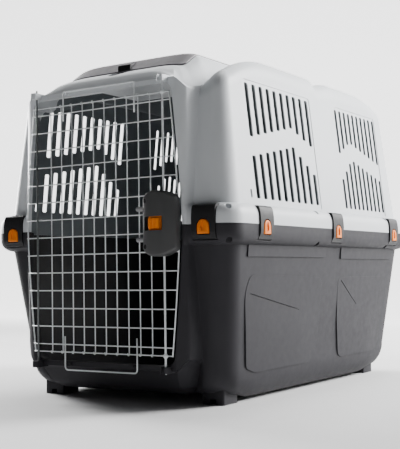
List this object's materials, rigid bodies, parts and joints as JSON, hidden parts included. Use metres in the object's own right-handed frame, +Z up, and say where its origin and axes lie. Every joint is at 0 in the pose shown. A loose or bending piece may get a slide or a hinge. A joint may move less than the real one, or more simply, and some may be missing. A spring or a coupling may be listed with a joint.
{
  "type": "pet travel crate",
  "caption": "Two-shell plastic travel crate for a dog, with a wire door, a two-bolt latch, lever clips round the belt and a lidded tray in the roof.",
  "frame": {"origin": "centre of the outer box at floor level", "axes": "+Z up, -Y out of the door, +X to the right as one faces the door"},
  "size_m": [0.6384, 0.9672, 0.7369],
  "materials": {
    "shell_light": "light grey moulded plastic with a fine grain",
    "shell_dark": "dark grey moulded plastic with a fine grain",
    "lid_plastic": "mid grey satin plastic",
    "black_plastic": "black satin plastic",
    "clip_plastic": "charcoal satin plastic",
    "latch_plastic": "charcoal semi-gloss plastic",
    "orange_plastic": "orange satin plastic",
    "zinc_wire": "bright zinc plated wire",
    "steel": "plain steel",
    "peg_plastic": "mid grey plastic"
  },
  "bodies": {
    "shells": {"bottom_shell": "shell_dark", "top_shell": "shell_light", "lid_pin_left": "steel", "lid_pin_right": "steel"},
    "lid": {"storage_lid": "lid_plastic"},
    "lid_catch": {"lid_catch": "black_plastic"},
    "door": {"door_grille": "zinc_wire", "latch_cover": "latch_plastic", "latch_back": "latch_plastic", "latch_screw_upper": "black_plastic", "latch_screw_lower": "black_plastic", "latch_peg_upper": "peg_plastic", "latch_peg_lower": "peg_plastic", "latch_spring_upper": "steel", "latch_spring_lower": "steel"},
    "slider": {"latch_slider": "orange_plastic", "latch_slide_plate": "black_plastic"},
    "bolt_upper": {"latch_rod_upper": "zinc_wire"},
    "bolt_lower": {"latch_rod_lower": "zinc_wire"},
    "clip_front_left": {"clip_lever_front_left": "clip_plastic"},
    "button_front_left": {"clip_button_front_left": "orange_plastic"},
    "clip_front_right": {"clip_lever_front_right": "clip_plastic"},
    "button_front_right": {"clip_button_front_right": "orange_plastic"},
    "clip_rear_left": {"clip_lever_rear_left": "clip_plastic"},
    "button_rear_left": {"clip_button_rear_left": "orange_plastic"},
    "clip_rear_right": {"clip_lever_rear_right": "clip_plastic"},
    "button_rear_right": {"clip_button_rear_right": "orange_plastic"},
    "clip_left_front": {"clip_lever_left_front": "clip_plastic"},
    "button_left_front": {"clip_button_left_front": "orange_plastic"},
    "clip_right_front": {"clip_lever_right_front": "clip_plastic"},
    "button_right_front": {"clip_button_right_front": "orange_plastic"},
    "clip_left_middle": {"clip_lever_left_middle": "clip_plastic"},
    "button_left_middle": {"clip_button_left_middle": "orange_plastic"},
    "clip_right_middle": {"clip_lever_right_middle": "clip_plastic"},
    "button_right_middle": {"clip_button_right_middle": "orange_plastic"},
    "clip_left_rear": {"clip_lever_left_rear": "clip_plastic"},
    "button_left_rear": {"clip_button_left_rear": "orange_plastic"},
    "clip_right_rear": {"clip_lever_right_rear": "clip_plastic"},
    "button_right_rear": {"clip_button_right_rear": "orange_plastic"}
  },
  "joints": [
    {"name": "lid_hinge", "type": "hinge", "parent": "shells", "child": "lid", "pos_m": [0, -0.10455, 0.73289], "axis": [-1, 0, 0], "range_deg": [0, 85]},
    {"name": "lid_catch_slide", "type": "slide", "parent": "lid", "child": "lid_catch", "axis": [0, 0.8308, 0.5566], "range_m": [0, 0.006]},
    {"name": "door_swing", "type": "hinge", "parent": "shells", "child": "door", "pos_m": [-0.1668, -0.45333, 0.36], "axis": [0, 0, -1], "range_deg": [0, 120]},
    {"name": "latch_slide", "type": "slide", "parent": "door", "child": "slider", "axis": [1, 0, 0], "range_m": [0, 0.008], "stiffness_N_per_m": 300, "springref_m": -0.01},
    {"name": "bolt_upper_slide", "type": "slide", "parent": "door", "child": "bolt_upper", "axis": [0, 0, -1], "range_m": [0, 0.008], "deforming": ["latch_spring_upper"]},
    {"name": "bolt_lower_slide", "type": "slide", "parent": "door", "child": "bolt_lower", "axis": [0, 0, 1], "range_m": [0, 0.008], "deforming": ["latch_spring_lower"]},
    {"name": "clip_front_left_swing", "type": "hinge", "parent": "shells", "child": "clip_front_left", "pos_m": [-0.2498, -0.43435, 0.3335], "axis": [1, 0, 0], "range_deg": [0, 90]},
    {"name": "button_front_left_press", "type": "slide", "parent": "clip_front_left", "child": "button_front_left", "axis": [0, 1, 0], "range_m": [0, 0.002], "stiffness_N_per_m": 500},
    {"name": "clip_front_right_swing", "type": "hinge", "parent": "shells", "child": "clip_front_right", "pos_m": [0.2498, -0.43435, 0.3335], "axis": [1, 0, 0], "range_deg": [0, 90]},
    {"name": "button_front_right_press", "type": "slide", "parent": "clip_front_right", "child": "button_front_right", "axis": [0, 1, 0], "range_m": [0, 0.002], "stiffness_N_per_m": 500},
    {"name": "clip_rear_left_swing", "type": "hinge", "parent": "shells", "child": "clip_rear_left", "pos_m": [-0.17, 0.47325, 0.3335], "axis": [-1, 0, 0], "range_deg": [0, 90]},
    {"name": "button_rear_left_press", "type": "slide", "parent": "clip_rear_left", "child": "button_rear_left", "axis": [0, -1, 0], "range_m": [0, 0.002], "stiffness_N_per_m": 500},
    {"name": "clip_rear_right_swing", "type": "hinge", "parent": "shells", "child": "clip_rear_right", "pos_m": [0.17, 0.47325, 0.3335], "axis": [-1, 0, 0], "range_deg": [0, 90]},
    {"name": "button_rear_right_press", "type": "slide", "parent": "clip_rear_right", "child": "button_rear_right", "axis": [0, -1, 0], "range_m": [0, 0.002], "stiffness_N_per_m": 500},
    {"name": "clip_left_front_swing", "type": "hinge", "parent": "shells", "child": "clip_left_front", "pos_m": [-0.3088, -0.31043, 0.3335], "axis": [0, -1, 0], "range_deg": [0, 90]},
    {"name": "button_left_front_press", "type": "slide", "parent": "clip_left_front", "child": "button_left_front", "axis": [1, 0, 0], "range_m": [0, 0.002], "stiffness_N_per_m": 500},
    {"name": "clip_right_front_swing", "type": "hinge", "parent": "shells", "child": "clip_right_front", "pos_m": [0.3088, -0.31043, 0.3335], "axis": [0, 1, 0], "range_deg": [0, 90]},
    {"name": "button_right_front_press", "type": "slide", "parent": "clip_right_front", "child": "button_right_front", "axis": [-1, 0, 0], "range_m": [0, 0.002], "stiffness_N_per_m": 500},
    {"name": "clip_left_middle_swing", "type": "hinge", "parent": "shells", "child": "clip_left_middle", "pos_m": [-0.3088, 0.02445, 0.3335], "axis": [0, -1, 0], "range_deg": [0, 90]},
    {"name": "button_left_middle_press", "type": "slide", "parent": "clip_left_middle", "child": "button_left_middle", "axis": [1, 0, 0], "range_m": [0, 0.002], "stiffness_N_per_m": 500},
    {"name": "clip_right_middle_swing", "type": "hinge", "parent": "shells", "child": "clip_right_middle", "pos_m": [0.3088, 0.02445, 0.3335], "axis": [0, 1, 0], "range_deg": [0, 90]},
    {"name": "button_right_middle_press", "type": "slide", "parent": "clip_right_middle", "child": "button_right_middle", "axis": [-1, 0, 0], "range_m": [0, 0.002], "stiffness_N_per_m": 500},
    {"name": "clip_left_rear_swing", "type": "hinge", "parent": "shells", "child": "clip_left_rear", "pos_m": [-0.3088, 0.35933, 0.3335], "axis": [0, -1, 0], "range_deg": [0, 90]},
    {"name": "button_left_rear_press", "type": "slide", "parent": "clip_left_rear", "child": "button_left_rear", "axis": [1, 0, 0], "range_m": [0, 0.002], "stiffness_N_per_m": 500},
    {"name": "clip_right_rear_swing", "type": "hinge", "parent": "shells", "child": "clip_right_rear", "pos_m": [0.3088, 0.35933, 0.3335], "axis": [0, 1, 0], "range_deg": [0, 90]},
    {"name": "button_right_rear_press", "type": "slide", "parent": "clip_right_rear", "child": "button_right_rear", "axis": [-1, 0, 0], "range_m": [0, 0.002], "stiffness_N_per_m": 500}
  ],
  "couplings": [
    {"joint": "bolt_upper_slide", "follows": "latch_slide", "ratio": 1},
    {"joint": "bolt_lower_slide", "follows": "latch_slide", "ratio": 1}
  ]
}
